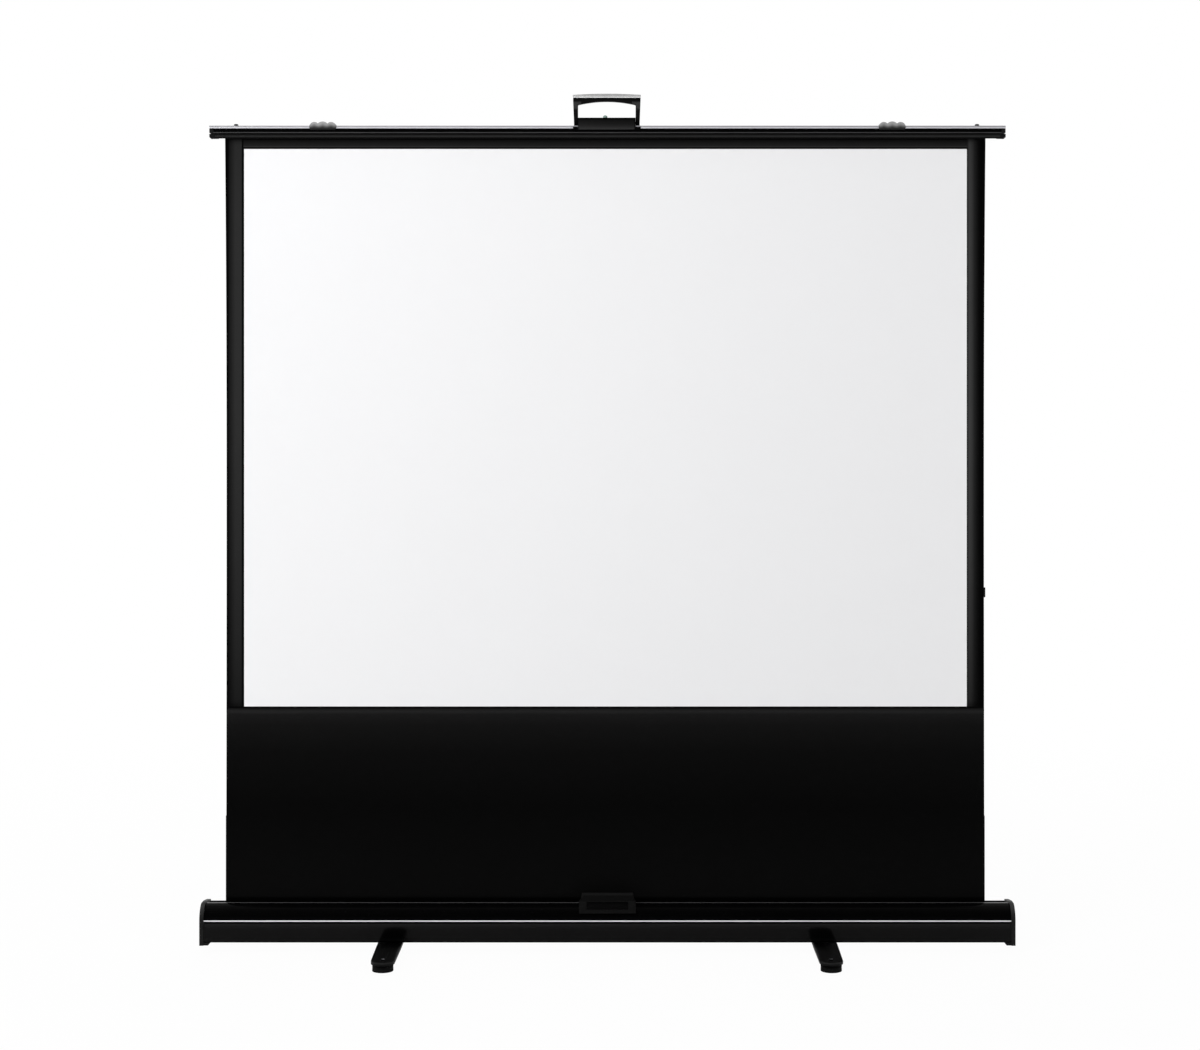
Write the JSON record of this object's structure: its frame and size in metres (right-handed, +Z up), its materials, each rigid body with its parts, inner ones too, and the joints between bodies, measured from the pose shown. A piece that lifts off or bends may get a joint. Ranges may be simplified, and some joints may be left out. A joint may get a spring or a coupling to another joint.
{
  "type": "pull-up projection screen",
  "caption": "Floor-standing projection screen: a framed cloth rises out of a long case on folding arms behind it, with a carrying handle, a front latch and swivelling legs.",
  "frame": {"origin": "on the floor, under the middle of the case", "axes": "+X to the screen's right as its viewer sees it, +Y away from the viewer, +Z up"},
  "size_m": [1.8, 0.411, 1.904],
  "materials": {
    "satin_black": "satin black anodised extrusion",
    "gloss_black": "gloss black coated extrusion",
    "bright_trim": "bright silver anodised strip",
    "cap_black": "moulded black plastic",
    "latch_black": "fine-textured black plastic",
    "badge_black": "plain dark plate with nothing on it",
    "steel": "zinc-plated steel",
    "spring_steel": "dark spring steel",
    "cloth_white": "matt white projection cloth with printed dark borders",
    "cloth_black": "black coated cloth",
    "roller_metal": "plain aluminium tube",
    "bumper_grey": "mid-grey rubber",
    "handle_black": "black plastic",
    "button_green": "pale green plastic",
    "arm_black": "black anodised tube",
    "arm_fitting": "cast aluminium fitting",
    "leg_black": "black powder-coated steel",
    "foot_black": "black plastic disc on a steel screw"
  },
  "bodies": {
    "case": {"base_channel": "satin_black", "front_cover": "gloss_black", "trim_strip": "bright_trim", "end_cap_left": "cap_black", "end_cap_right": "cap_black", "latch_base": "latch_black", "roller_bracket_left": "steel", "roller_bracket_right": "steel", "roller_axle": "steel", "base_bracket_a": "steel", "base_bracket_b": "steel", "base_spring_a": "spring_steel", "base_spring_b": "spring_steel", "leg_pivot_left": "steel", "leg_pivot_right": "steel", "screen_sheet": "cloth_white", "drop_cloth": "cloth_black", "leader_cloth": "cloth_black"},
    "latch": {"latch_housing": "latch_black", "badge_plate": "badge_black"},
    "roller": {"roller_tube": "roller_metal", "roller_plug_left": "cap_black", "roller_plug_right": "cap_black", "roller_spring": "spring_steel", "cloth_turns": "cloth_black"},
    "lower_arm_a": {"lower_tube_a": "arm_black", "base_fork_a": "arm_fitting", "elbow_fork_a": "arm_fitting", "elbow_pin_a": "steel"},
    "upper_arm_a": {"upper_tube_a": "arm_black", "elbow_tongue_a": "arm_fitting", "top_eye_a": "arm_fitting"},
    "lower_arm_b": {"lower_tube_b": "arm_black", "base_fork_b": "arm_fitting", "elbow_fork_b": "arm_fitting", "elbow_pin_b": "steel"},
    "upper_arm_b": {"upper_tube_b": "arm_black", "elbow_tongue_b": "arm_fitting", "top_eye_b": "arm_fitting"},
    "top_bar": {"bar_channel": "satin_black", "bar_top_strip": "bright_trim", "bar_cap_left": "cap_black", "bar_cap_right": "cap_black", "hem_strip": "satin_black", "bumper_left": "bumper_grey", "bumper_right": "bumper_grey", "top_bracket_a": "steel", "top_bracket_b": "steel", "handle_base": "handle_black"},
    "handle": {"handle_bail": "handle_black", "grip_strip": "bright_trim"},
    "button": {"release_button": "button_green"},
    "leg_left": {"leg_left": "leg_black"},
    "leg_right": {"leg_right": "leg_black"},
    "foot_front_left": {"foot_front_left": "foot_black"},
    "foot_rear_left": {"foot_rear_left": "foot_black"},
    "foot_front_right": {"foot_front_right": "foot_black"},
    "foot_rear_right": {"foot_rear_right": "foot_black"}
  },
  "joints": [
    {"name": "arm_fold", "type": "hinge", "parent": "case", "child": "lower_arm_a", "pos_m": [-0.65, 0.0125, 0.0485], "axis": [0, 1, 0], "range_deg": [0, 34.84], "deforming": ["screen_sheet", "drop_cloth", "leader_cloth"]},
    {"name": "elbow_a", "type": "hinge", "parent": "lower_arm_a", "child": "upper_arm_a", "pos_m": [0.56655, 0.0125, 0.926], "axis": [0, 1, 0], "range_deg": [-69.78, 0]},
    {"name": "top_a", "type": "hinge", "parent": "upper_arm_a", "child": "top_bar", "pos_m": [-0.65, 0.0125, 1.8035], "axis": [0, 1, 0], "range_deg": [0, 34.89]},
    {"name": "base_b", "type": "hinge", "parent": "case", "child": "lower_arm_b", "pos_m": [0.65, 0.0305, 0.0485], "axis": [0, 1, 0], "range_deg": [-34.89, 0]},
    {"name": "elbow_b", "type": "hinge", "parent": "lower_arm_b", "child": "upper_arm_b", "pos_m": [-0.56655, 0.0305, 0.926], "axis": [0, 1, 0], "range_deg": [0, 69.78]},
    {"name": "roller_turn", "type": "hinge", "parent": "case", "child": "roller", "pos_m": [0, -0.0202, 0.058], "axis": [1, 0, 0], "range_deg": [-5235, 0]},
    {"name": "latch_turn", "type": "hinge", "parent": "case", "child": "latch", "pos_m": [0, -0.0429, 0.0948], "axis": [-1, 0, 0], "range_deg": [0, 5]},
    {"name": "handle_fold", "type": "hinge", "parent": "top_bar", "child": "handle", "pos_m": [0, 0, 1.839], "axis": [-1, 0, 0], "range_deg": [0, 90]},
    {"name": "button_press", "type": "slide", "parent": "top_bar", "child": "button", "axis": [0, 0, -1], "range_m": [0, 0.0025], "stiffness_N_per_m": 400, "springref_m": -0.001},
    {"name": "leg_left_swivel", "type": "hinge", "parent": "case", "child": "leg_left", "pos_m": [-0.481, 0, 0.018], "axis": [0, 0, 1], "range_deg": [0, 90]},
    {"name": "leg_right_swivel", "type": "hinge", "parent": "case", "child": "leg_right", "pos_m": [0.481, 0, 0.018], "axis": [0, 0, 1], "range_deg": [-90, 0]},
    {"name": "foot_front_left_screw", "type": "slide", "parent": "leg_left", "child": "foot_front_left", "axis": [0, 0, -1], "range_m": [0, 0.008]},
    {"name": "foot_rear_left_screw", "type": "slide", "parent": "leg_left", "child": "foot_rear_left", "axis": [0, 0, -1], "range_m": [0, 0.008]},
    {"name": "foot_front_right_screw", "type": "slide", "parent": "leg_right", "child": "foot_front_right", "axis": [0, 0, -1], "range_m": [0, 0.008]},
    {"name": "foot_rear_right_screw", "type": "slide", "parent": "leg_right", "child": "foot_rear_right", "axis": [0, 0, -1], "range_m": [0, 0.008]}
  ],
  "couplings": [
    {"joint": "elbow_a", "follows": "arm_fold", "ratio": -2},
    {"joint": "top_a", "follows": "arm_fold", "ratio": 1},
    {"joint": "base_b", "follows": "arm_fold", "ratio": -1},
    {"joint": "elbow_b", "follows": "arm_fold", "ratio": 2},
    {"joint": "roller_turn", "follows": "arm_fold", "ratio": -150.2}
  ]
}
